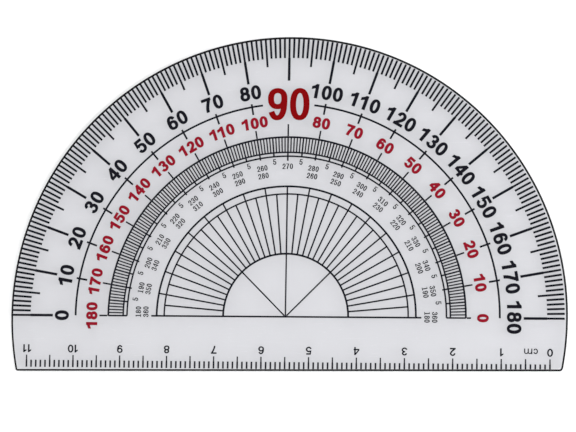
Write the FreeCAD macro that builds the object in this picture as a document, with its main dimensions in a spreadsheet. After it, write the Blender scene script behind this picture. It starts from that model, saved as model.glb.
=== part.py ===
import FreeCAD, Part
import math
import os
import Sketcher

# A 12 cm drawing protractor: one clear moulded plate with black and red scales printed on its face.
# The origin is the centre of the plate's round rim, on the back face. +X runs along the ruling edge,
# +Y points at the 90 degree mark and +Z points out of the printed face.
# The print has its own frame, turned and shifted a little on the plate, as the real print sits.

Vector = FreeCAD.Vector

# Driving dimensions, in millimetres and degrees.
DIMENSIONS = {
    # Plate
    "plate_radius": 58.6,
    "plate_thickness": 1.6,
    "ruling_edge_drop": 11.5,
    "right_corner_radius": 0.8,
    "left_corner_radius": 0.5,
    "edge_chamfer": 0.36,
    # Print
    "ink_thickness": 0.04,
    "print_turn": -0.5,
    "print_shift_x": 0.02,
    "print_shift_y": -0.24,
    "line_width": 0.32,
    "hairline_width": 0.265,
    "arc_width": 0.385,
    "mark_gap": 0.02,
    "scale_sweep": 180,
    "clear_of_baseline": 2,
    # Outer degree ticks
    "outer_tick_width": 0.42,
    "ten_degree_tick_width": 0.53,
    "outer_tick_end": 58.5,
    "outer_trim_radius": 58.1,
    "outer_trim_shift": 0.12,
    "one_degree_start": 54.34,
    "five_degree_start": 52.6,
    "ten_degree_start": 49.55,
    # Broken arc between the two rows of numerals
    "middle_arc_radius": 44.64,
    "middle_arc_sweep": 83,
    "middle_arc_width": 0.385,
    "ninety_window_width": 4.5,
    "middle_tick_start": 42.97,
    "middle_tick_end": 45.27,
    # Short pointers under the inner numerals
    "pointer_end": 39.53,
    "long_pointer_end": 40.36,
    "short_pointer_end": 38.7,
    # Fine degree band
    "band_outer_radius": 37.63,
    "band_middle_radius": 34.43,
    "band_inner_radius": 33.62,
    "band_tick_start": 33.2,
    "band_ninety_start": 32.65,
    # Fan of lines round the vertex
    "fan_outer_radius": 27.28,
    "fan_middle_radius": 25.68,
    "fan_inner_radius": 13.16,
    "fan_line_width": 0.31,
    "fan_inner_arc_width": 0.385,
    "fan_diagonal_width": 0.29,
    "baseline_width": 0.34,
    "baseline_half_length": 28.43,
    # Ruler
    "ruler_length": 110,
    "ruler_tick_width": 0.34,
    "ruler_tick_end": 10.9,
    "long_ruler_tick_width": 0.26,
    "millimetre_tick_start": 9.42,
    "long_ruler_tick_start": 8.36,
    # Numerals: cap heights and the radius or drop of their feet
    "outer_numeral_height": 3.02,
    "outer_numeral_foot": 46.09,
    "outer_two_digit_shift": 0.12,
    "outer_three_digit_shift": -0.25,
    "inner_numeral_height": 2.41,
    "inner_numeral_foot": 39.95,
    "inner_two_digit_shift": -0.15,
    "ninety_height": 6.8,
    "ninety_foot": 41.18,
    "reflex_numeral_height": 1.15,
    "reflex_outer_foot": 30.62,
    "reflex_inner_foot": 29.02,
    "reflex_ring_rise": 0.3,
    "reflex_left_end_shift": 0.35,
    "fine_side_shift": 0.2,
    "five_numeral_height": 1.2,
    "five_numeral_foot": 31.42,
    "five_ring_rise": 0.5,
    "ruler_numeral_height": 1.66,
    "ruler_numeral_foot": 6.18,
    "unit_mark_height": 1.12,
    "unit_mark_gap": 0.22,
    "unit_mark_centre": 51.1,
}


def make_sheet(doc):
    """Write the driving dimensions into the document's spreadsheet."""
    sheet = doc.addObject("Spreadsheet::Sheet", "Sizes")
    for row, (alias, value) in enumerate(DIMENSIONS.items(), start=1):
        sheet.set("A%d" % row, alias)
        sheet.set("B%d" % row, str(value))
        sheet.setAlias("B%d" % row, alias)
    doc.recompute()
    return sheet


# ---- Placing ------------------------------------------------------------------------------------


def place_print(piece):
    """Put a printed piece on the plate's face, in the print's own frame."""
    piece.Placement = FreeCAD.Placement()
    piece.setExpression("Placement.Base.x", "Sizes.print_shift_x")
    piece.setExpression("Placement.Base.y", "Sizes.print_shift_y")
    piece.setExpression("Placement.Base.z", "Sizes.plate_thickness")
    piece.setExpression("Placement.Rotation.Angle", "Sizes.print_turn")


def place_print_shape(piece, sheet):
    """Put a printed piece that holds its own shape on the plate's face."""
    foot = Vector(sheet.print_shift_x, sheet.print_shift_y, sheet.plate_thickness)
    turn = FreeCAD.Rotation(Vector(0, 0, 1), sheet.print_turn)
    piece.Placement = FreeCAD.Placement(foot, turn)


# ---- Sketched marks -----------------------------------------------------------------------------


def origin_feature(body, role):
    """Find one of the body's own origin planes or axes."""
    return next(feature for feature in body.Origin.OriginFeatures if feature.Role == role)


def new_body(doc, label):
    """Start a body that may hold many separate marks."""
    body = doc.addObject("PartDesign::Body", label)
    body.Label = label
    body.AllowCompound = True
    return body


def new_sketch(body, name):
    """Start a sketch on the body's XY plane."""
    sketch = body.newObject("Sketcher::SketchObject", name)
    sketch.AttachmentSupport = (origin_feature(body, "XY_Plane"), [""])
    sketch.MapMode = "FlatFace"
    return sketch


def bar_sketch(body, name, near, far, width, upright=False, middle=None):
    """Sketch a bar from one distance to another along X, or along Y if it is upright.

    near, far, width and middle are sheet expressions; middle moves the bar off the axis.
    """
    sketch = new_sketch(body, name)
    corners = [Vector(1, -1, 0), Vector(2, -1, 0), Vector(2, 1, 0), Vector(1, 1, 0)]
    for index in range(4):
        sketch.addGeometry(Part.LineSegment(corners[index], corners[(index + 1) % 4]), False)
    for index in range(4):
        sketch.addConstraint(Sketcher.Constraint("Coincident", index, 2, (index + 1) % 4, 1))
    for index in (0, 2):
        sketch.addConstraint(Sketcher.Constraint("Horizontal", index))
    for index in (1, 3):
        sketch.addConstraint(Sketcher.Constraint("Vertical", index))
    half = "(%s) / 2" % width
    centre = middle or "0"
    along = (near, far)
    across = ("(%s) - %s" % (centre, half), "(%s) + %s" % (centre, half))
    across_x, across_y = (across, along) if upright else (along, across)
    limits = (
        ("DistanceX", 0, across_x[0]),
        ("DistanceY", 0, across_y[0]),
        ("DistanceX", 2, across_x[1]),
        ("DistanceY", 2, across_y[1]),
    )
    for kind, line, expression in limits:
        number = sketch.addConstraint(Sketcher.Constraint(kind, -1, 1, line, 1, 1.0))
        sketch.setExpression("Constraints[%d]" % number, expression)
    return sketch


def pad(body, sketch):
    """Raise a sketch by the ink's thickness."""
    feature = body.newObject("PartDesign::Pad", sketch.Name + "_pad")
    feature.Profile = sketch
    feature.setExpression("Length", "Sizes.ink_thickness")
    sketch.Visibility = False
    return feature


def fan_out(body, feature, step):
    """Repeat a mark round the vertex, one for each step of the half circle."""
    pattern = body.newObject("PartDesign::PolarPattern", feature.Name + "_ring")
    pattern.Originals = [feature]
    pattern.Axis = (origin_feature(body, "Z_Axis"), [""])
    pattern.setExpression("Angle", "Sizes.scale_sweep")
    pattern.setExpression("Occurrences", "Sizes.scale_sweep / %d + 1" % step)
    body.Tip = pattern
    return pattern


def radial_marks(body, name, near, far, width, step):
    """Add radial bars every step degrees of the half circle."""
    return fan_out(body, pad(body, bar_sketch(body, name, near, far, width)), step)


def sector(doc, name, radius, start, sweep):
    """Make a thin slice of a round disc."""
    disc = doc.addObject("Part::Cylinder", name)
    disc.setExpression("Radius", radius)
    disc.setExpression("Height", "Sizes.ink_thickness")
    disc.setExpression("Angle", sweep)
    disc.setExpression("Placement.Rotation.Angle", start)
    return disc


def arc_line(doc, name, radius, width, start="0", sweep="Sizes.scale_sweep"):
    """Make one printed arc of a width about a radius."""
    outer = sector(doc, name + "_outside", "%s + %s / 2" % (radius, width), start, sweep)
    inner = sector(doc, name + "_inside", "%s - %s / 2" % (radius, width), start, sweep)
    arc = doc.addObject("Part::Cut", name)
    arc.Base = outer
    arc.Tool = inner
    return arc


def ink_block(doc, name, left, low, length, width):
    """Make a block as thick as the ink, from its left and lowest corner."""
    block = doc.addObject("Part::Box", name)
    block.setExpression("Placement.Base.x", left)
    block.setExpression("Placement.Base.y", low)
    block.setExpression("Length", length)
    block.setExpression("Width", width)
    block.setExpression("Height", "Sizes.ink_thickness")
    return block


def keep_clear_of_baseline(doc, body):
    """Keep only the marks that stand clear of the baseline."""
    name = body.Label + "_above_baseline"
    window = ink_block(
        doc,
        name + "_window",
        "-Sizes.plate_radius",
        "Sizes.clear_of_baseline",
        "2 * Sizes.plate_radius",
        "Sizes.plate_radius",
    )
    kept = doc.addObject("Part::Common", name)
    kept.Base = body
    kept.Tool = window
    return kept


def trim(doc, label, marks, tool, keep_inside):
    """Trim finished marks with another solid, keeping what is inside or outside it."""
    trimmed = doc.addObject("Part::Common" if keep_inside else "Part::Cut", label)
    trimmed.Label = label
    trimmed.Base = marks
    trimmed.Tool = tool
    return trimmed


def join(doc, label, pieces):
    """Fuse crossing lines into one printed piece."""
    fused = doc.addObject("Part::MultiFuse", label)
    fused.Label = label
    fused.Shapes = pieces
    fused.Refine = True
    place_print(fused)
    return fused


# ---- Glyphs -------------------------------------------------------------------------------------
# A numeral is drawn one unit high. Its strokes follow a path of stations (across, up, heading), where
# across and up run from 0 to 1 over the pen's own travel, so that any pen fills the same box.


class Pen:
    """The width and weight of one style of numeral, as shares of its height."""

    def __init__(self, box, stem, bar, advance, fullness=1.0, serif=False):
        self.box = box
        self.stem = stem
        self.bar = bar
        self.advance = advance
        self.fullness = fullness
        self.serif = serif

    def point(self, across, up):
        """Turn a station into a point of the pen's travel."""
        return Vector(
            self.stem / 2 + across * (self.box - self.stem), self.bar / 2 + up * (1 - self.bar), 0
        )

    def half_width(self, normal):
        """Half the stroke's width where it faces along a unit normal."""
        return math.hypot(self.stem * normal.x, self.bar * normal.y) / 2


BOLD = Pen(box=0.69, stem=0.23, bar=0.192, advance=0.79, fullness=1.1)
BROAD = Pen(box=0.72, stem=0.265, bar=0.22, advance=0.8, fullness=1.1)
HEAVY = Pen(box=0.605, stem=0.187, bar=0.157, advance=0.69, fullness=1.16)
PLAIN = Pen(box=0.72, stem=0.19, bar=0.168, advance=0.665, fullness=1.04)
FINE = Pen(box=0.57, stem=0.18, bar=0.112, advance=0.68, serif=True)
SMALL_LETTER = Pen(box=0.82, stem=0.2, bar=0.17, advance=1.0)
WIDE_LETTER = Pen(box=1.5, stem=0.2, bar=0.17, advance=1.0)

CORNER_REACH = 0.5523
SAMPLES_PER_SPAN = 6


def heading_vector(degrees):
    """Unit vector for a heading, counted from +X towards +Y."""
    return Vector(math.cos(math.radians(degrees)), math.sin(math.radians(degrees)), 0)


def handles(start, leave, end, arrive, fullness):
    """Lengths of a span's two handles, so that a right-angle turn is a quarter of an ellipse."""
    cross = leave.x * arrive.y - leave.y * arrive.x
    chord = end - start
    plain = chord.Length / 3
    if abs(cross) < 0.05:
        return plain, plain
    before = (chord.x * arrive.y - chord.y * arrive.x) / cross
    after = (leave.x * chord.y - leave.y * chord.x) / cross
    if before <= 0 or after <= 0:
        return plain, plain
    turn = math.acos(max(-1.0, min(1.0, leave.dot(arrive))))
    share = 4 / 3 * math.tan(turn / 4) / math.tan(turn / 2) * fullness
    return before * share, after * share


def span_curve(pen, first, second):
    """One span of a stroke's middle line as a Bezier curve."""
    start, end = pen.point(*first[:2]), pen.point(*second[:2])
    leave, arrive = heading_vector(first[2]), heading_vector(second[2])
    near, far = handles(start, leave, end, arrive, pen.fullness)
    curve = Part.BezierCurve()
    curve.setPoles([start, start + leave * near, end - arrive * far, end])
    return curve


def side_lines(pen, stations):
    """Points down the two sides of a stroke."""
    left, right = [], []
    for index in range(len(stations) - 1):
        curve = span_curve(pen, stations[index], stations[index + 1])
        first = 0 if index == 0 else 1
        for sample in range(first, SAMPLES_PER_SPAN + 1):
            position = sample / SAMPLES_PER_SPAN
            tangent = curve.tangent(position)[0]
            normal = Vector(-tangent.y, tangent.x, 0).normalize()
            middle = curve.value(position)
            reach = normal * pen.half_width(normal)
            left.append(middle + reach)
            right.append(middle - reach)
    return left, right


def smooth_edge(points, closed=False):
    """A smooth curve through points."""
    curve = Part.BSplineCurve()
    if closed:
        curve.interpolate(Points=points[:-1], PeriodicFlag=True)
    else:
        curve.interpolate(Points=points)
    return curve.toShape()


def stroke(pen, stations):
    """Face of an open stroke with square ends."""
    left, right = side_lines(pen, stations)
    far_end = Part.LineSegment(left[-1], right[-1]).toShape()
    near_end = Part.LineSegment(right[0], left[0]).toShape()
    outline = Part.Wire([smooth_edge(left), far_end, smooth_edge(right[::-1]), near_end])
    return Part.Face(outline)


def ring(pen, centre, radii):
    """Face of a closed oval stroke."""
    (across, up), (wide, tall) = centre, radii
    stations = [
        (across, up + tall, 0),
        (across + wide, up, -90),
        (across, up - tall, -180),
        (across - wide, up, -270),
        (across, up + tall, -360),
    ]
    outside, inside = side_lines(pen, stations)
    outer = Part.Face(Part.Wire([smooth_edge(outside, closed=True)]))
    inner = Part.Face(Part.Wire([smooth_edge(inside, closed=True)]))
    return outer.cut(inner)


def polygon(*corners):
    """Face of a straight-sided outline."""
    points = [Vector(across, up, 0) for across, up in corners]
    return Part.Face(Part.makePolygon(points + points[:1]))


def bar(left, right, bottom, top):
    """Face of an upright rectangle."""
    return polygon((left, bottom), (right, bottom), (right, top), (left, top))


def ball(pen, station):
    """Round ending of a serif stroke."""
    circle = Part.Circle(pen.point(*station[:2]), Vector(0, 0, 1), pen.stem * 0.52)
    return Part.Face(Part.Wire([circle.toShape()]))


def endings(pen, *stations):
    """Balls at a serif numeral's stroke ends, and nothing for the other styles."""
    return [ball(pen, station) for station in stations] if pen.serif else []


def digit_zero(pen):
    return [ring(pen, (0.5, 0.5), (0.5, 0.5))]


def digit_one(pen):
    if pen.serif:
        left = (pen.box - pen.stem) / 2
        foot = bar(left - pen.stem, left + 2 * pen.stem, 0, pen.bar)
        flag = polygon((left, 1), (left - pen.stem, 0.9), (left - pen.stem, 0.84), (left, 0.9))
        return [bar(left, left + pen.stem, 0, 1), foot, flag]
    left = pen.box * 0.44
    right = left + pen.stem
    tip = left - 1.15 * pen.stem
    flag_top = 0.80
    flag_foot = flag_top - pen.stem * 0.93
    return [
        polygon(
            (left, 0),
            (right, 0),
            (right, 1),
            (right - pen.stem * 0.8, 1),
            (left - 0.06, 0.89),
            (tip, flag_top),
            (tip, flag_foot),
            (left, flag_foot + 0.1),
        )
    ]


def digit_two(pen):
    start = (0.03, 0.70, 78)
    sweep = [start, (0.5, 1, 0), (0.98, 0.72, -90), (0.58, 0.33, -137), (-0.02, -0.02, -118)]
    pieces = [stroke(pen, sweep), bar(0, pen.box, 0, pen.bar * 1.08)]
    return pieces + endings(pen, start)


def digit_three(pen):
    upper, lower = (0.04, 0.77, 70), (0, 0.235, -255)
    top = stroke(pen, [upper, (0.48, 1, 0), (0.93, 0.765, -90), (0.36, 0.535, -180)])
    bowl = stroke(pen, [(0.34, 0.535, 0), (1, 0.275, -90), (0.49, 0, -180), lower])
    return [top, bowl] + endings(pen, upper, lower)


def digit_four(pen):
    stem_left = pen.box * 0.93 - pen.stem * 1.15
    stem_right = stem_left + pen.stem
    low, high = 0.225, 0.225 + pen.bar
    shoulder = (stem_left + pen.stem * 0.12, 1)
    heel = (0, high + pen.bar * 0.15)
    slant = pen.stem * 1.02 if not pen.serif else pen.stem * 0.6
    rise = (shoulder[1] - heel[1]) / (shoulder[0] - heel[0])
    peak = heel[1] + (stem_left - slant) * rise
    toe = slant + (high - heel[1]) / rise
    outline = polygon(
        (stem_left, 0),
        (stem_right, 0),
        (stem_right, low),
        (pen.box, low),
        (pen.box, high),
        (stem_right, high),
        (stem_right, 1),
        shoulder,
        heel,
        (0, low),
        (stem_left, low),
    )
    window = polygon((toe, high), (stem_left, high), (stem_left, peak))
    return [outline.cut(window)]


def digit_five(pen):
    terminal = (0, 0.235, -255)
    left, right = pen.box * 0.14, pen.box * 0.93
    bowl = stroke(pen, [(0.05, 0.50, 50), (0.46, 0.625, 0), (1, 0.32, -90), (0.48, 0, -180), terminal])
    thick = pen.stem * 0.86
    spine = polygon((left, 1), (left + thick, 1), (thick * 0.92, 0.52), (pen.box * 0.02, 0.465))
    pieces = [bowl, spine, bar(left, right, 1 - pen.bar * 1.08, 1)]
    return pieces + endings(pen, terminal)


def digit_six(pen):
    terminal = (0.95, 0.775, -72)
    tail = stroke(pen, [(0, 0.31, 90), (0.01, 0.50, 88), (0.53, 1, 0), terminal])
    return [ring(pen, (0.5, 0.295), (0.5, 0.295)), tail] + endings(pen, terminal)


def digit_seven(pen):
    leg = stroke(pen, [(1.05, 1.04, -132), (0.50, 0.40, -113), (0.30, -0.12, -95)])
    return [bar(0, pen.box, 1 - pen.bar * 1.08, 1), leg]


def digit_eight(pen):
    return [ring(pen, (0.5, 0.765), (0.43, 0.235)), ring(pen, (0.5, 0.27), (0.5, 0.27))]


def digit_nine(pen):
    middle = Vector(pen.box / 2, 0.5, 0)
    return [face.rotated(middle, Vector(0, 0, 1), 180) for face in digit_six(pen)]


def letter_c(pen):
    return [stroke(pen, [(1, 0.68, 105), (0.52, 1, 180), (0, 0.5, 270), (0.52, 0, 360), (1, 0.30, 435)])]


def letter_m(pen):
    arches = []
    for left, right in ((0, 0.5), (0.5, 1)):
        crown = (left + right) / 2 + 0.03
        arches.append(stroke(pen, [(left, 0.55, 85), (crown, 1, 0), (right, 0.7, -90)]))
        arches.append(stroke(pen, [(right, 0.71, -90), (right, -0.2, -90)]))
    return arches + [bar(0, pen.stem, 0, 1)]


GLYPHS = {
    "0": digit_zero,
    "1": digit_one,
    "2": digit_two,
    "3": digit_three,
    "4": digit_four,
    "5": digit_five,
    "6": digit_six,
    "7": digit_seven,
    "8": digit_eight,
    "9": digit_nine,
    "c": letter_c,
    "m": letter_m,
}


def merged(faces):
    """One face with the joint outline of flat faces that overlap."""
    whole = faces[0].fuse(faces[1:]) if len(faces) > 1 else faces[0]
    edges = [edge for face in whole.Faces for edge in face.Edges]
    outline = [edge for edge in edges if sum(other.isSame(edge) for other in edges) == 1]
    wires = [Part.Wire(run) for run in Part.sortEdges(outline)]
    return Part.makeFace(wires, "Part::FaceMakerBullseye")


def glyph_face(pen, character):
    """One glyph's flat shape, one unit high, trimmed level at its foot and head."""
    band = bar(-0.3, pen.box + 0.3, 0, 1)
    return merged([face.common(band) for face in GLYPHS[character](pen)])


class Face:
    """A style of numeral at one height, which prints strings of digits."""

    def __init__(self, pen, height, thickness):
        self.pen = pen
        self.height = height
        self.thickness = thickness
        self.cut = {}

    def glyph(self, character):
        """Solid glyph at this height, with its foot on the X axis and its box from X = 0."""
        if character not in self.cut:
            flat = glyph_face(self.pen, character)
            matrix = FreeCAD.Matrix()
            matrix.scale(self.height, self.height, 1)
            flat = flat.transformGeometry(matrix)
            self.cut[character] = flat.extrude(Vector(0, 0, self.thickness))
        return self.cut[character]

    def steps(self, text):
        """Left edge of each glyph's box, with a pair of ones set closer."""
        edges, position = [], 0.0
        for index, character in enumerate(text):
            edges.append(position)
            pair = text[index : index + 2]
            position += self.pen.advance - (0.055 if pair == "11" else 0)
        return edges

    def print(self, text, centre, turn=0.0, shift=0.0):
        """Solids of a string whose foot is centred on a point, turned anticlockwise.

        shift moves the string along its own reading direction.
        """
        edges = self.steps(text)
        width = edges[-1] + self.pen.box
        solids = []
        for edge, character in zip(edges, text):
            solid = self.glyph(character).copy()
            solid.translate(Vector((edge - width / 2) * self.height + shift, 0, 0))
            solid.rotate(Vector(0, 0, 0), Vector(0, 0, 1), turn)
            solid.translate(centre)
            solids.extend(solid.Solids)
        return solids


def ring_of_numerals(face, labels, foot, rise=0.0, shifts=None, side_shift=0.0, left_end_shift=0.0):
    """Solids of numerals round the vertex, with labels given as {degrees from the right: text}.

    rise moves the whole ring towards 90. The rest are moves along the string: shifts gives one by the
    digit count, side_shift grows from nothing at 90 to its full size at the baseline, and
    left_end_shift is for the string at the left end of the baseline alone.
    """
    solids = []
    for degrees, text in labels.items():
        centre = heading_vector(degrees) * foot + Vector(0, rise, 0)
        shift = (shifts or {}).get(len(text), 0.0) + side_shift * abs(math.cos(math.radians(degrees)))
        if degrees == 180:
            shift += left_end_shift
        solids.extend(face.print(text, centre, degrees - 90, shift))
    return solids


def printed_feature(doc, sheet, label, solids):
    """Hold printed glyphs as one piece on the plate's face."""
    piece = doc.addObject("Part::Feature", label)
    piece.Label = label
    piece.Shape = Part.makeCompound(solids)
    place_print_shape(piece, sheet)
    return piece


# ---- Sub-parts ----------------------------------------------------------------------------------


def make_plate(doc):
    """The clear plate: a segment of a circle with rounded corners and an eased upper edge."""
    body = doc.addObject("PartDesign::Body", "plate")
    body.Label = "plate"
    sketch = new_sketch(body, "plate_outline")
    radius, drop = DIMENSIONS["plate_radius"], DIMENSIONS["ruling_edge_drop"]
    dip = math.asin(drop / radius)
    circle = Part.Circle(Vector(0, 0, 0), Vector(0, 0, 1), radius)
    rim = sketch.addGeometry(Part.ArcOfCircle(circle, -dip, math.pi + dip), False)
    half = radius * math.cos(dip)
    edge = sketch.addGeometry(Part.LineSegment(Vector(-half, -drop, 0), Vector(half, -drop, 0)), False)
    sketch.addConstraint(Sketcher.Constraint("Coincident", rim, 3, -1, 1))
    sketch.addConstraint(Sketcher.Constraint("Coincident", rim, 2, edge, 1))
    sketch.addConstraint(Sketcher.Constraint("Coincident", rim, 1, edge, 2))
    sketch.addConstraint(Sketcher.Constraint("Horizontal", edge))
    number = sketch.addConstraint(Sketcher.Constraint("Radius", rim, radius))
    sketch.setExpression("Constraints[%d]" % number, "Sizes.plate_radius")
    number = sketch.addConstraint(Sketcher.Constraint("DistanceY", edge, 1, -1, 1, drop))
    sketch.setExpression("Constraints[%d]" % number, "Sizes.ruling_edge_drop")
    slab = body.newObject("PartDesign::Pad", "plate_slab")
    slab.Profile = sketch
    slab.setExpression("Length", "Sizes.plate_thickness")
    doc.recompute()

    corners = slab
    for side, name in ((1, "right_corner"), (-1, "left_corner")):
        whole = corners.Shape
        upright = [
            "Edge%d" % (index + 1)
            for index, candidate in enumerate(whole.Edges)
            if abs(candidate.BoundBox.ZLength - whole.BoundBox.ZLength) < 1e-6
            and len(candidate.Vertexes) == 2
            and abs(candidate.BoundBox.Center.x - side * half) < 1e-3
        ]
        fillet = body.newObject("PartDesign::Fillet", name)
        fillet.Base = (corners, upright)
        fillet.setExpression("Radius", "Sizes.%s_radius" % name)
        doc.recompute()
        corners = fillet

    chamfer = body.newObject("PartDesign::Chamfer", "plate_upper_edge")
    top = corners.Shape.BoundBox.ZMax
    upper = [
        "Edge%d" % (index + 1)
        for index, candidate in enumerate(corners.Shape.Edges)
        if abs(candidate.BoundBox.ZMin - top) < 1e-6
    ]
    chamfer.Base = (corners, upper)
    chamfer.setExpression("Size", "Sizes.edge_chamfer")
    body.Tip = chamfer
    return body


def make_outer_degree_ticks(doc):
    """Black ticks at the rim: every degree, longer at each fifth and longest at each tenth.

    They are trimmed by a disc that sits almost true on the plate, since the print itself is a little off.
    """
    body = new_body(doc, "outer_degree_marks")
    width, broad = "Sizes.outer_tick_width", "Sizes.ten_degree_tick_width"
    radial_marks(body, "outer_one_degree", "Sizes.one_degree_start", "Sizes.outer_tick_end", width, 1)
    radial_marks(body, "outer_five_degree", "Sizes.five_degree_start", "Sizes.one_degree_start", width, 5)
    radial_marks(body, "outer_ten_degree", "Sizes.ten_degree_start", "Sizes.one_degree_start", broad, 10)
    place_print(body)
    disc = sector(doc, "outer_trim_disc", "Sizes.outer_trim_radius", "0", "360")
    disc.setExpression("Placement.Base.x", "-Sizes.outer_trim_shift")
    disc.setExpression("Placement.Base.z", "Sizes.plate_thickness")
    return trim(doc, "outer_degree_ticks", body, disc, keep_inside=True)


def make_middle_arc(doc):
    """Two black arcs with a cross tick at every tenth degree, broken at the large 90."""
    ticks = new_body(doc, "middle_arc_ticks")
    width = "Sizes.middle_arc_width"
    radial_marks(ticks, "middle_tick", "Sizes.middle_tick_start", "Sizes.middle_tick_end", width, 10)
    radius, sweep = "Sizes.middle_arc_radius", "Sizes.middle_arc_sweep"
    left_start = "Sizes.scale_sweep - Sizes.middle_arc_sweep"
    right = arc_line(doc, "middle_arc_right", radius, width, "0", sweep)
    left = arc_line(doc, "middle_arc_left", radius, width, left_start, sweep)
    whole = doc.addObject("Part::MultiFuse", "middle_arc_with_all_ticks")
    whole.Shapes = [right, left, keep_clear_of_baseline(doc, ticks)]
    window = ink_block(
        doc,
        "middle_arc_window",
        "-Sizes.ninety_window_width / 2",
        "0",
        "Sizes.ninety_window_width",
        "Sizes.plate_radius",
    )
    arc = trim(doc, "middle_arc", whole, window, keep_inside=False)
    place_print(arc)
    return arc


def make_pointer_stubs(doc):
    """Short black pointers from the fine band to the inner numerals, longer at 90, shorter at the right."""
    body = new_body(doc, "pointer_marks")
    start = "Sizes.band_outer_radius + Sizes.arc_width / 2 + Sizes.mark_gap"
    width = "Sizes.line_width"
    radial_marks(body, "pointer", start, "Sizes.pointer_end", width, 10)
    long_one = bar_sketch(
        body, "long_pointer", "Sizes.pointer_end", "Sizes.long_pointer_end", width, upright=True
    )
    body.Tip = pad(body, long_one)
    window = ink_block(
        doc,
        "short_pointer_window",
        "Sizes.short_pointer_end",
        "-Sizes.line_width",
        "Sizes.pointer_end",
        "2 * Sizes.line_width",
    )
    stubs = trim(doc, "pointer_stubs", body, window, keep_inside=False)
    place_print(stubs)
    return stubs


def make_degree_band(doc):
    """Fine black band: three arcs with a tick at every degree."""
    ticks = new_body(doc, "degree_band_ticks")
    outer, middle, inner = "Sizes.band_outer_radius", "Sizes.band_middle_radius", "Sizes.band_inner_radius"
    fine, width, arc_width = "Sizes.hairline_width", "Sizes.line_width", "Sizes.arc_width"
    radial_marks(ticks, "band_one_degree", middle, outer, fine, 1)
    radial_marks(ticks, "band_five_degree", inner, outer, width, 5)
    ninety = bar_sketch(ticks, "band_ninety", "Sizes.band_ninety_start", inner, width, upright=True)
    ticks.Tip = pad(ticks, ninety)
    long_ticks = new_body(doc, "degree_band_long_ticks")
    radial_marks(long_ticks, "band_ten_degree", "Sizes.band_tick_start", outer, width, 10)
    arcs = [
        arc_line(doc, "band_outer_arc", outer, arc_width),
        arc_line(doc, "band_middle_arc", middle, width),
        arc_line(doc, "band_inner_arc", inner, width),
    ]
    return join(doc, "degree_band", arcs + [ticks, keep_clear_of_baseline(doc, long_ticks)])


def make_radial_fan(doc):
    """Black lines round the vertex: three arcs, radial lines, the baseline, the 90 and the 45 lines."""
    lines = new_body(doc, "radial_fan_lines")
    width = "Sizes.fan_line_width"
    inner, middle, outer = "Sizes.fan_inner_radius", "Sizes.fan_middle_radius", "Sizes.fan_outer_radius"
    radial_marks(lines, "fan_ten_degree", inner, outer, width, 10)
    radial_marks(lines, "fan_five_degree", inner, middle, width, 5)
    radial_marks(lines, "fan_diagonal", "Sizes.line_width", inner, "Sizes.fan_diagonal_width", 45)
    half = "Sizes.baseline_half_length"
    baseline = bar_sketch(lines, "baseline", "-" + half, half, "Sizes.baseline_width")
    lines.Tip = pad(lines, baseline)
    upright = bar_sketch(lines, "upright_line", "0", inner, "Sizes.fan_diagonal_width", upright=True)
    lines.Tip = pad(lines, upright)
    arcs = [
        arc_line(doc, "fan_outer_arc", outer, "Sizes.arc_width"),
        arc_line(doc, "fan_middle_arc", middle, "Sizes.line_width"),
        arc_line(doc, "fan_inner_arc", inner, "Sizes.fan_inner_arc_width"),
    ]
    return join(doc, "radial_fan", arcs + [lines])


def make_ruler_ticks(doc):
    """Black centimetre ruler along the straight edge, trimmed where the print meets the edge."""
    body = new_body(doc, "ruler_tick_marks")
    end = "-Sizes.ruler_tick_end"
    shoulder = "-Sizes.millimetre_tick_start"
    top_end = "-Sizes.long_ruler_tick_start"
    first = "-Sizes.ruler_length / 2"
    rows = (
        ("millimetre", shoulder, end, "Sizes.ruler_tick_width", 1),
        ("half_centimetre", top_end, shoulder, "Sizes.long_ruler_tick_width", 5),
    )
    for name, top, bottom, width, step in rows:
        sketch = bar_sketch(body, name, bottom, top, width, upright=True, middle=first)
        mark = pad(body, sketch)
        pattern = body.newObject("PartDesign::LinearPattern", name + "_row")
        pattern.Originals = [mark]
        pattern.Direction = (origin_feature(body, "X_Axis"), [""])
        pattern.setExpression("Length", "Sizes.ruler_length")
        pattern.setExpression("Occurrences", "Sizes.ruler_length / %d + 1" % step)
        body.Tip = pattern
    place_print(body)
    face = ink_block(
        doc,
        "flat_of_the_face",
        "-Sizes.plate_radius",
        "Sizes.edge_chamfer + Sizes.mark_gap - Sizes.ruling_edge_drop",
        "2 * Sizes.plate_radius",
        "Sizes.plate_radius",
    )
    face.setExpression("Placement.Base.z", "Sizes.plate_thickness")
    return trim(doc, "ruler_ticks", body, face, keep_inside=True)


def make_outer_degree_numerals(doc, sheet):
    """Bold black numerals 0 to 180 from left to right, with none at 90."""
    face = Face(BOLD, sheet.outer_numeral_height, sheet.ink_thickness)
    labels = {180 - label: str(label) for label in range(0, 181, 10) if label != 90}
    shifts = {2: sheet.outer_two_digit_shift, 3: sheet.outer_three_digit_shift}
    solids = ring_of_numerals(face, labels, sheet.outer_numeral_foot, shifts=shifts)
    return printed_feature(doc, sheet, "outer_degree_numerals", solids)


def make_inner_degree_numerals(doc, sheet):
    """Bold red numerals 180 to 0 from left to right, with none at 90."""
    face = Face(BROAD, sheet.inner_numeral_height, sheet.ink_thickness)
    labels = {label: str(label) for label in range(0, 181, 10) if label != 90}
    shifts = {2: sheet.inner_two_digit_shift}
    solids = ring_of_numerals(face, labels, sheet.inner_numeral_foot, shifts=shifts)
    return printed_feature(doc, sheet, "inner_degree_numerals", solids)


def make_ninety_numeral(doc, sheet):
    """The large red 90 in the break of the middle arc."""
    face = Face(HEAVY, sheet.ninety_height, sheet.ink_thickness)
    solids = ring_of_numerals(face, {90: "90"}, sheet.ninety_foot)
    return printed_feature(doc, sheet, "ninety_numeral", solids)


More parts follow.
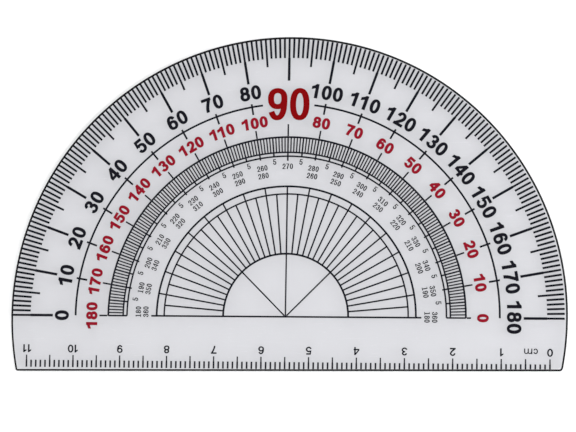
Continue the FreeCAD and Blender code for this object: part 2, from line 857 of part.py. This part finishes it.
def make_reflex_numerals(doc, sheet):
    """Two rows of fine black numerals for reflex angles, counted each way round."""
    face = Face(FINE, sheet.reflex_numeral_height, sheet.ink_thickness)
    rising = {180 - turn: str(180 + turn) for turn in range(0, 181, 10)}
    falling = {180 - turn: str(360 - turn) for turn in range(0, 181, 10) if turn != 90}
    rows = (
        ("reflex_numerals_outer", rising, sheet.reflex_outer_foot),
        ("reflex_numerals_inner", falling, sheet.reflex_inner_foot),
    )
    pieces = []
    for label, labels, foot in rows:
        solids = ring_of_numerals(
            face,
            labels,
            foot,
            sheet.reflex_ring_rise,
            side_shift=sheet.fine_side_shift,
            left_end_shift=sheet.reflex_left_end_shift,
        )
        pieces.append(printed_feature(doc, sheet, label, solids))
    return pieces


def make_five_degree_numerals(doc, sheet):
    """A fine black 5 half way between the tenth degrees."""
    face = Face(FINE, sheet.five_numeral_height, sheet.ink_thickness)
    labels = {degrees: "5" for degrees in range(5, 180, 10)}
    solids = ring_of_numerals(
        face, labels, sheet.five_numeral_foot, sheet.five_ring_rise, side_shift=sheet.fine_side_shift
    )
    return printed_feature(doc, sheet, "five_degree_numerals", solids)


def make_ruler_numerals(doc, sheet):
    """Plain black numerals 0 to 11, read with the ruling edge away from the user."""
    face = Face(PLAIN, sheet.ruler_numeral_height, sheet.ink_thickness)
    solids = []
    for centimetre in range(0, 12):
        centre = Vector(sheet.ruler_length / 2 - 10 * centimetre, -sheet.ruler_numeral_foot, 0)
        solids.extend(face.print(str(centimetre), centre, 180))
    return printed_feature(doc, sheet, "ruler_numerals", solids)


def make_unit_mark(doc, sheet):
    """The small cm beside the ruler's zero."""
    thickness, height, foot = sheet.ink_thickness, sheet.unit_mark_height, -sheet.ruler_numeral_foot
    small, wide = SMALL_LETTER.box * height, WIDE_LETTER.box * height
    half = (small + sheet.unit_mark_gap + wide) / 2
    solids = []
    for pen, character, middle in (
        (SMALL_LETTER, "c", sheet.unit_mark_centre + half - small / 2),
        (WIDE_LETTER, "m", sheet.unit_mark_centre - half + wide / 2),
    ):
        solids.extend(Face(pen, height, thickness).print(character, Vector(middle, foot, 0), 180))
    return printed_feature(doc, sheet, "unit_mark", solids)


def check(doc, pieces):
    """Stop if anything in the document failed or any sub-part has no sound shape."""
    for item in doc.Objects:
        if "Invalid" in item.State or "Error" in item.State:
            raise RuntimeError("%s failed: %s" % (item.Label, item.State))
    for piece in pieces:
        shape = piece.Shape
        if shape.isNull() or not shape.isValid() or not shape.Solids:
            raise RuntimeError("%s has no sound shape" % piece.Label)


def main():
    doc = FreeCAD.newDocument("Protractor")
    sheet = make_sheet(doc)
    pieces = [
        make_plate(doc),
        make_outer_degree_ticks(doc),
        make_middle_arc(doc),
        make_pointer_stubs(doc),
        make_degree_band(doc),
        make_radial_fan(doc),
        make_ruler_ticks(doc),
        make_outer_degree_numerals(doc, sheet),
        make_inner_degree_numerals(doc, sheet),
        make_ninety_numeral(doc, sheet),
        *make_reflex_numerals(doc, sheet),
        make_five_degree_numerals(doc, sheet),
        make_ruler_numerals(doc, sheet),
        make_unit_mark(doc, sheet),
    ]
    doc.recompute()
    check(doc, pieces)
    os.makedirs("parts", exist_ok=True)
    for piece in pieces:
        piece.Shape.exportStep("parts/%s.step" % piece.Label)
        box = piece.Shape.BoundBox
        extent = "%.2f x %.2f x %.3f" % (box.XLength, box.YLength, box.ZLength)
        print("%-24s %4d solids  %s mm" % (piece.Label, len(piece.Shape.Solids), extent))


main()
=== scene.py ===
import logging
import math
from collections.abc import Mapping, Sequence
from dataclasses import dataclass, field
from enum import Enum
from typing import Any

import bpy
from mathutils import Matrix, Vector


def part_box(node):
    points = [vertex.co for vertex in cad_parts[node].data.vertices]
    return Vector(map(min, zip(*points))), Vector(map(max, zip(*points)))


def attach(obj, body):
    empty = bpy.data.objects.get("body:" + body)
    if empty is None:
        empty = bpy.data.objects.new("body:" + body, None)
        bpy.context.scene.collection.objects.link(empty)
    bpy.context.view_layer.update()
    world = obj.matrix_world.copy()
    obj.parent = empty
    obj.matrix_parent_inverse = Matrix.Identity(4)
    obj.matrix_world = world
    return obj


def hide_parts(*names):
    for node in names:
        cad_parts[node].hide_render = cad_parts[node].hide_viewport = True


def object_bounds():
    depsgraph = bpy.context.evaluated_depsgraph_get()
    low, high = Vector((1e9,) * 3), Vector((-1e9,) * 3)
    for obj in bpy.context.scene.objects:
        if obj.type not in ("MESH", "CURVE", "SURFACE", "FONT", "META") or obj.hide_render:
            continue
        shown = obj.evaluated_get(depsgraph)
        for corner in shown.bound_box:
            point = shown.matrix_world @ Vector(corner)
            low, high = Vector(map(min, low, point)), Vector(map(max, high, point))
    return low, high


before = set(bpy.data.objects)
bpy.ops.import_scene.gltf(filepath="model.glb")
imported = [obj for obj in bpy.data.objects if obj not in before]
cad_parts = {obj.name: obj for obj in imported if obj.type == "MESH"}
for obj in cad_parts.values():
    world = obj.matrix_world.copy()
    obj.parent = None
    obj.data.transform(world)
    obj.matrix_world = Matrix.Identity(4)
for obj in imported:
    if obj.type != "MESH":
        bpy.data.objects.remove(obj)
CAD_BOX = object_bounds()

LOG = logging.getLogger("protractor")
MILLIMETRE = 0.001
PLASTIC_INDEX = 1.49
FINE_DETAIL = 0.55
Colour = tuple[float, float, float]
Point = tuple[float, float, float]


class Slot(Enum):
    """The record's material slots."""

    CLEAR_PLASTIC = "clear_plastic"
    BLACK_INK = "black_ink"
    RED_INK = "red_ink"


class Surface(Enum):
    """The plate's surfaces, in the order of its finishes."""

    FACE = 0
    ROUNDING = 1
    WALL = 2


class Value:
    """One socket of a node graph, which adds Math nodes when it is used in an expression."""

    def __init__(self, graph: "Graph", socket: bpy.types.NodeSocket | None) -> None:
        """Wrap a socket.

        Args:
            graph: The graph that new nodes are added to.
            socket: The output socket, or None for a node that ends the graph.
        """
        self.graph = graph
        self.socket = socket

    def _math(self, operation: str, first: "Value | float", second: "Value | float") -> "Value":
        """Add one Math node.

        Args:
            operation: The node's operation.
            first: The first operand.
            second: The second operand.

        Returns:
            The result's socket.
        """
        return self.graph.add("ShaderNodeMath", {"operation": operation}, {0: first, 1: second})

    def __add__(self, other: "Value | float") -> "Value":
        """Sum."""
        return self._math("ADD", self, other)

    __radd__ = __add__

    def __sub__(self, other: "Value | float") -> "Value":
        """Difference."""
        return self._math("SUBTRACT", self, other)

    def __rsub__(self, other: float) -> "Value":
        """Difference from a number."""
        return self._math("SUBTRACT", other, self)

    def __mul__(self, other: "Value | float") -> "Value":
        """Product."""
        return self._math("MULTIPLY", self, other)

    __rmul__ = __mul__

    def __abs__(self) -> "Value":
        """Size without sign."""
        return self._math("ABSOLUTE", self, 0.0)

    def below(self, limit: float, blur: float) -> "Value":
        """Mask that is 1 where this value is under a limit and fades to 0 past it.

        Args:
            limit: Where the mask starts to fade.
            blur: How far the fade goes on.

        Returns:
            The mask's socket.
        """
        ends = {"Value": self, "From Min": limit, "From Max": limit + blur, "To Min": 1.0, "To Max": 0.0}
        return self.graph.add("ShaderNodeMapRange", {"clamp": True}, ends)


class Graph:
    """A material's node tree, with one method that adds any node."""

    def __init__(self, name: str) -> None:
        """Start a material.

        Args:
            name: The material's name.
        """
        self.material = bpy.data.materials.new(name)
        self.material.use_nodes = True
        self.tree = self.material.node_tree
        self.tree.nodes.clear()

    def add(
        self,
        node_type: str,
        settings: Mapping[str, Any] | None = None,
        sockets: Mapping[str | int, Any] | None = None,
        output: str | int = 0,
    ) -> Value:
        """Add a node, set it up and feed its sockets.

        Args:
            node_type: The node's type.
            settings: The node's own settings, which are made first.
            sockets: A value or a link for each named or numbered input.
            output: The output that is wanted.

        Returns:
            The wanted output.
        """
        node = self.tree.nodes.new(node_type)
        for setting, choice in (settings or {}).items():
            setattr(node, setting, choice)
        for key, feed in (sockets or {}).items():
            if isinstance(feed, Value):
                self.tree.links.new(feed.socket, node.inputs[key])
            else:
                node.inputs[key].default_value = feed
        return Value(self, node.outputs[output] if node.outputs else None)

    def place(self) -> Value:
        """Position on the object, in metres."""
        return self.add("ShaderNodeTexCoord", output="Object")

    def stretched(self, scale: Point, turn: float = 0.0) -> Value:
        """Position turned about the upright axis and then scaled.

        Args:
            scale: Scale along each axis.
            turn: Turn in degrees.

        Returns:
            The scaled position.
        """
        sockets = {"Vector": self.place(), "Rotation": (0.0, 0.0, math.radians(turn)), "Scale": scale}
        return self.add("ShaderNodeMapping", {"vector_type": "POINT"}, sockets)

    def noise(self, vector: Value, scale: float, detail: float = 2.0) -> Value:
        """Smooth noise from 0 to 1.

        Args:
            vector: Where the noise is read.
            scale: Features in a unit of the vector.
            detail: Octaves of finer noise.

        Returns:
            The noise.
        """
        sockets = {"Vector": vector, "Scale": scale, "Detail": detail, "Roughness": FINE_DETAIL}
        return self.add("ShaderNodeTexNoise", {}, sockets)

    def blend(self, share: Value | float, first: Colour, second: Colour) -> Value:
        """Mix of two colours.

        Args:
            share: Share of the second colour.
            first: The colour at 0.
            second: The colour at 1.

        Returns:
            The mixed colour.
        """
        sockets = {"Factor": share, 6: (*first, 1.0), 7: (*second, 1.0)}
        return self.add("ShaderNodeMix", {"data_type": "RGBA"}, sockets, output=2)

    def bump(self, height: Value, distance: float, strength: float = 1.0) -> Value:
        """Normal of a surface with fine relief.

        Args:
            height: Relief from 0 to 1.
            distance: Depth of the full relief, in metres.
            strength: Share of the relief that shows.

        Returns:
            The bumped normal.
        """
        sockets = {"Strength": strength, "Distance": distance, "Height": height}
        return self.add("ShaderNodeBump", {}, sockets)

    def finish(self, sockets: Mapping[str, Any]) -> bpy.types.Material:
        """End the graph in a Principled surface.

        Args:
            sockets: Values and links of the surface's inputs.

        Returns:
            The finished material.
        """
        surface = self.add("ShaderNodeBsdfPrincipled", {}, sockets)
        self.add("ShaderNodeOutputMaterial", {}, {"Surface": surface})
        return self.material


@dataclass(frozen=True)
class PlateFace:
    """Clear moulded plastic with a polished face, fine rubbing marks and a faint cast."""

    name: str = "clear_plate_face"
    cast: Colour = (0.633, 0.633, 0.658)
    deep_cast: Colour = (0.604, 0.604, 0.629)
    body: float = 0.48
    polish: float = 0.16
    cloud_scale: float = 55.0
    cloud_roughness: float = 0.08
    wave_scale: float = 24.0
    wave_height: float = 0.9
    relief_depth: float = 0.004 * MILLIMETRE
    mark_directions: tuple[float, ...] = (17.0, -38.0, 84.0)
    mark_stretch: Point = (70.0, 1900.0, 70.0)
    mark_level: float = 0.56
    mark_half_width: float = 0.0015
    mark_blur: float = 0.0025
    mark_roughness: float = 0.25
    mark_depth: float = 0.05
    patch_stretch: Point = (60.0, 60.0, 60.0)
    patch_level: float = 0.52
    patch_blur: float = 0.06

    def rubbing_marks(self, graph: Graph) -> Value:
        """Fine hairlines that run in a few directions.

        Args:
            graph: The material's graph.

        Returns:
            A mask that is 1 on a hairline.
        """
        marks = None
        for turn in self.mark_directions:
            along = graph.noise(graph.stretched(self.mark_stretch, turn), 1.0, 1.0)
            line = abs(along - self.mark_level).below(self.mark_half_width, self.mark_blur)
            patch = graph.noise(graph.stretched(self.patch_stretch, turn), 1.0, 0.0)
            line = line * (1.0 - patch.below(self.patch_level, self.patch_blur))
            marks = line if marks is None else marks + line
        return marks

    def build(self) -> bpy.types.Material:
        """Make the material.

        Returns:
            The polished, faintly tinted plastic.
        """
        graph = Graph(self.name)
        place = graph.place()
        clouds = graph.noise(place, self.cloud_scale, 3.0)
        waves = graph.noise(place, self.wave_scale, 1.0)
        marks = self.rubbing_marks(graph)
        relief = waves * self.wave_height - marks * self.mark_depth
        return graph.finish(
            {
                "Base Color": graph.blend(clouds, self.cast, self.deep_cast),
                "Roughness": clouds * self.cloud_roughness + marks * self.mark_roughness + self.polish,
                "IOR": PLASTIC_INDEX,
                "Alpha": self.body,
                "Normal": graph.bump(relief, self.relief_depth),
            }
        )


@dataclass(frozen=True)
class PlateEdge:
    """The plate's rounded upper edge, painted near-black: painted shade for the light that the clear plastic
    turns away there.
    """

    name: str = "clear_plate_edge"
    # dark and soft are painted shade: near-black colours that stand in for the light the clear edge turns
    # away.
    dark: Colour = (0.0012, 0.0012, 0.0015)
    soft: Colour = (0.005, 0.005, 0.006)
    gloss: float = 0.06
    polish: float = 0.32
    streak_stretch: Point = (500.0, 500.0, 200.0)
    streak_roughness: float = 0.15
    relief_stretch: Point = (1500.0, 1500.0, 400.0)
    relief_depth: float = 0.01 * MILLIMETRE

    def build(self) -> bpy.types.Material:
        """Make the material.

        Returns:
            The edge in painted shade, faintly streaked along the mould's draw.
        """
        graph = Graph(self.name)
        streaks = graph.noise(graph.stretched(self.streak_stretch), 1.0, 2.0)
        relief = graph.noise(graph.stretched(self.relief_stretch), 1.0, 1.0)
        return graph.finish(
            {
                # Painted shade: the base colour runs between the two near-black colours along the streaks.
                "Base Color": graph.blend(streaks, self.dark, self.soft),
                "Roughness": streaks * self.streak_roughness + self.polish,
                "Specular IOR Level": self.gloss,
                "Normal": graph.bump(relief, self.relief_depth),
            }
        )


@dataclass(frozen=True)
class PlateWall:
    """The plate's upright wall: clear plastic with the fine upright drag lines of its mould."""

    name: str = "clear_plate_wall"
    pale: Colour = (0.30, 0.31, 0.33)
    shaded: Colour = (0.12, 0.125, 0.14)
    body: float = 0.28
    polish: float = 0.18
    drag_stretch: Point = (1500.0, 1500.0, 60.0)
    drag_roughness: float = 0.2
    drag_depth: float = 0.01 * MILLIMETRE

    def build(self) -> bpy.types.Material:
        """Make the material.

        Returns:
            The clear, finely dragged plastic.
        """
        graph = Graph(self.name)
        drag = graph.noise(graph.stretched(self.drag_stretch), 1.0, 2.0)
        return graph.finish(
            {
                "Base Color": graph.blend(drag, self.pale, self.shaded),
                "Roughness": drag * self.drag_roughness + self.polish,
                "IOR": PLASTIC_INDEX,
                "Alpha": self.body,
                "Normal": graph.bump(drag, self.drag_depth),
            }
        )


@dataclass(frozen=True)
class PrintedInk:
    """Screen-printed ink: an even satin film with the faint grain of the printing mesh."""

    name: str
    slot: Slot
    full: Colour
    thin: Colour
    gloss: float = 0.04
    satin: float = 0.42
    grain_scale: float = 9000.0
    grain_depth: float = 0.004 * MILLIMETRE
    film_scale: float = 700.0
    film_roughness: float = 0.16

    def build(self) -> bpy.types.Material:
        """Make the material.

        Returns:
            The ink, thinner in its grain and where the film runs thin.
        """
        graph = Graph(self.name)
        place = graph.place()
        grain = graph.noise(place, self.grain_scale, 2.0)
        film = graph.noise(place, self.film_scale, 2.0)
        return graph.finish(
            {
                "Base Color": graph.blend((grain + film) * 0.5, self.full, self.thin),
                "Roughness": film * self.film_roughness + self.satin,
                "Specular IOR Level": self.gloss,
                "Normal": graph.bump(grain, self.grain_depth),
            }
        )


@dataclass
class Plate:
    """The clear plate, with a rounded upper edge and corners, made from the frame's own sizes.

    face_lean is how far each ring sits off centre as a share of its inset, so that the rounded edge, and
    with it the painted shade of its dark colour, is a little wider on one side.
    """

    radius: float
    drop: float
    thickness: float
    right_corner: float = 0.8 * MILLIMETRE
    left_corner: float = 0.5 * MILLIMETRE
    rounding: float = 0.42 * MILLIMETRE
    # Leans the rings so that the painted dark edge is wider at the top and on the left.
    face_lean: tuple[float, float] = (0.16, -0.16)
    easing: float = 0.08 * MILLIMETRE
    rim_steps: int = 540
    corner_steps: int = 8
    rounding_steps: int = 6

    @classmethod
    def from_frame(cls) -> "Plate":
        """Take the plate's radius, drop and thickness from its CAD node."""
        low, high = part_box("plate")
        return cls(radius=min(-low.x, high.x, high.y), drop=-low.y, thickness=high.z - low.z)

    def corner_turn(self, corner: float, inset: float) -> tuple[list[tuple[float, float]], float]:
        """Points round the right-hand corner, drawn in by a distance.

        Args:
            corner: The corner's radius.
            inset: How far inside the outer edge the line runs.

        Returns:
            The points from the ruling edge up to the rim, and the angle at which the rim starts.
        """
        centre_y = corner - self.drop
        centre_x = math.sqrt((self.radius - corner) ** 2 - centre_y**2)
        lean = math.atan2(centre_y, centre_x)
        points = []
        for step in range(self.corner_steps):
            angle = -math.pi / 2 + (lean + math.pi / 2) * step / self.corner_steps
            reach = corner - inset
            points.append((centre_x + reach * math.cos(angle), centre_y + reach * math.sin(angle)))
        return points, lean

    def outline(self, inset: float) -> list[tuple[float, float]]:
        """Points of the plate's outline, drawn in by a distance.

        Args:
            inset: How far inside the outer edge the line runs.

        Returns:
            Points anticlockwise from the right-hand corner.
        """
        right, start = self.corner_turn(self.right_corner, inset)
        left, finish = self.corner_turn(self.left_corner, inset)
        reach = self.radius - inset
        rim = []
        for step in range(self.rim_steps + 1):
            angle = start + (math.pi - finish - start) * step / self.rim_steps
            rim.append((reach * math.cos(angle), reach * math.sin(angle)))
        return right + rim + [(-x, y) for x, y in reversed(left)]

    def profile(self) -> list[tuple[float, float]]:
        """Shape of the edge, from the back face to the printed face.

        Returns:
            Inset and height of each ring.
        """
        rings = [(self.easing, 0.0), (0.0, self.easing), (0.0, self.thickness / 2)]
        for step in range(self.rounding_steps + 1):
            angle = math.pi / 2 * step / self.rounding_steps
            inset = self.rounding * (1 - math.cos(angle))
            rings.append((inset, self.thickness - self.rounding * (1 - math.sin(angle))))
        return rings

    def skin(self) -> tuple[list[Point], list[tuple[int, ...]], list[Surface]]:
        """Closed skin of the plate: two flat faces with rings of small faces between them.

        Returns:
            The points, the faces and each face's surface.
        """
        rings = self.profile()
        points: list[Point] = []
        for inset, height in rings:
            along, across = (share * inset for share in self.face_lean)
            points.extend((x + along, y + across, height) for x, y in self.outline(inset))
        count = len(points) // len(rings)
        last = len(rings) - 1
        faces: list[tuple[int, ...]] = [tuple(reversed(range(count)))]
        surfaces = [Surface.FACE]
        for ring in range(last):
            low, high = ring * count, (ring + 1) * count
            for index in range(count):
                following = (index + 1) % count
                faces.append((low + index, low + following, high + following, high + index))
            on_rounding = ring >= last - self.rounding_steps
            surfaces.extend([Surface.ROUNDING if on_rounding else Surface.WALL] * count)
        faces.append(tuple(range(last * count, len(rings) * count)))
        surfaces.append(Surface.FACE)
        return points, faces, surfaces

    def build(self) -> bpy.types.Object:
        """Make the plate's mesh, dress it and fix it to the frame.

        Returns:
            The plate's object.
        """
        points, faces, surfaces = self.skin()
        mesh = bpy.data.meshes.new("clear_plate")
        mesh.from_pydata(points, [], faces)
        for finish in (PlateFace(), PlateEdge(), PlateWall()):
            mesh.materials.append(finish.build())
        for polygon, surface in zip(mesh.polygons, surfaces):
            polygon.material_index = surface.value
            polygon.use_smooth = surface is not Surface.FACE
        mesh.update()
        plate = bpy.data.objects.new("clear_plate", mesh)
        bpy.context.scene.collection.objects.link(plate)
        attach(plate, "root")
        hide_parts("plate")
        LOG.info("clear_plate: %d faces", len(mesh.polygons))
        return plate


@dataclass
class PrintedScales:
    """Every printed scale and numeral, kept as the frame has it and dressed in ink."""

    black: PrintedInk = PrintedInk(
        name="black_print", slot=Slot.BLACK_INK, full=(0.0045, 0.0045, 0.007), thin=(0.0075, 0.0075, 0.0115)
    )
    large_red: PrintedInk = PrintedInk(
        name="large_red_print", slot=Slot.RED_INK, full=(0.148, 0.0004, 0.0010), thin=(0.176, 0.0008, 0.0020)
    )
    small_red: PrintedInk = PrintedInk(
        name="small_red_print", slot=Slot.RED_INK, full=(0.184, 0.0050, 0.0125), thin=(0.214, 0.0070, 0.0170)
    )

    def ink_of(self, name: str) -> PrintedInk:
        """Ink that a printed node takes, black unless the node is one of the red ones."""
        reds = {"ninety_numeral": self.large_red, "inner_degree_numerals": self.small_red}
        return reds.get(name, self.black)

    def build(self) -> None:
        """Dress each printed node."""
        films = {ink.name: ink.build() for ink in (self.black, self.large_red, self.small_red)}
        for name, piece in sorted(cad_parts.items()):
            if name == "plate":
                continue
            ink = self.ink_of(name)
            piece.data.materials.clear()
            piece.data.materials.append(films[ink.name])
            LOG.info("%s: %s in slot %s", name, ink.name, ink.slot.value)


@dataclass(frozen=True)
class Softbox:
    """A square soft light that faces the plate."""

    name: str
    place: Point
    power: float
    width: float = 0.55
    tint: Colour = (1.0, 1.0, 1.0)

    def build(self, target: Vector) -> None:
        """Hang the light.

        Args:
            target: The point that the light faces.
        """
        data = bpy.data.lights.new(self.name, "AREA")
        data.shape = "SQUARE"
        data.size = self.width
        data.energy = self.power
        data.color = self.tint
        light = bpy.data.objects.new(self.name, data)
        light.location = Vector(self.place)
        light.rotation_euler = (Vector(self.place) - target).to_track_quat("Z", "Y").to_euler()
        bpy.context.scene.collection.objects.link(light)


@dataclass
class Studio:
    """A plain white floor, soft lights on all four sides and the camera above the plate."""

    floor_width: float = 2.4
    floor_gap: float = 0.15 * MILLIMETRE
    floor_colour: Colour = (0.90, 0.90, 0.90)
    floor_shade: float = 0.985
    floor_cloud_scale: float = 3.0
    floor_roughness: float = 0.9
    sky: Colour = (1.0, 1.0, 1.0)
    sky_strength: float = 0.35
    eye: Point = (0.09082, -0.03465, 0.59862)
    sight: Point = (-0.14908, 0.09147, -0.98458)
    upward: Point = (0.00690, 0.99578, 0.09147)
    lens: float = 181.58
    sensor_width: float = 36.0
    nearest: float = 0.05
    farthest: float = 10.0
    lights: tuple[Softbox, ...] = field(
        default=(
            Softbox("left_softbox", (-0.62, 0.0, 0.55), 1.6),
            Softbox("right_softbox", (0.62, 0.0, 0.55), 6.0, tint=(0.97, 0.985, 1.0)),
            Softbox("front_softbox", (0.0, -0.62, 0.55), 3.3),
            Softbox("back_softbox", (0.0, 0.65, 0.55), 3.3),
        )
    )

    def build_floor(self) -> None:
        """Lay the floor just under the plate."""
        half = self.floor_width / 2
        corners = [(-half, -half), (half, -half), (half, half), (-half, half)]
        mesh = bpy.data.meshes.new("floor")
        mesh.from_pydata([(x, y, -self.floor_gap) for x, y in corners], [], [(0, 1, 2, 3)])
        graph = Graph("white_floor")
        clouds = graph.noise(graph.place(), self.floor_cloud_scale, 1.0)
        shaded = tuple(channel * self.floor_shade for channel in self.floor_colour)
        colour = graph.blend(clouds, self.floor_colour, shaded)
        mesh.materials.append(graph.finish({"Base Color": colour, "Roughness": self.floor_roughness}))
        floor = bpy.data.objects.new("floor", mesh)
        bpy.context.scene.collection.objects.link(floor)

    def build_sky(self) -> None:
        """Set the even light that fills the room."""
        world = bpy.data.worlds.new("soft_room")
        world.use_nodes = True
        background = world.node_tree.nodes["Background"]
        background.inputs["Color"].default_value = (*self.sky, 1.0)
        background.inputs["Strength"].default_value = self.sky_strength
        bpy.context.scene.world = world

    def build_camera(self) -> None:
        """Hang the camera where it looks down on the plate from the front right."""
        data = bpy.data.cameras.new("camera")
        data.lens = self.lens
        data.sensor_width = self.sensor_width
        data.clip_start = self.nearest
        data.clip_end = self.farthest
        back = -Vector(self.sight).normalized()
        right = Vector(self.upward).cross(back).normalized()
        rise = back.cross(right)
        turn = Matrix((right, rise, back)).transposed()
        camera = bpy.data.objects.new("camera", data)
        camera.matrix_world = Matrix.Translation(self.eye) @ turn.to_4x4()
        bpy.context.scene.collection.objects.link(camera)
        bpy.context.scene.camera = camera

    def build(self) -> None:
        """Make the whole studio."""
        self.build_floor()
        self.build_sky()
        self.build_camera()
        low, high = CAD_BOX
        for light in self.lights:
            light.build((low + high) / 2)
        bpy.context.scene.view_settings.view_transform = "Standard"
        LOG.info("studio: %d lights", len(self.lights))


def main() -> None:
    """Build the protractor and its studio."""
    logging.basicConfig(level=logging.INFO, format="%(name)s %(message)s")
    Plate.from_frame().build()
    PrintedScales().build()
    Studio().build()


if __name__ == "__main__":
    main()
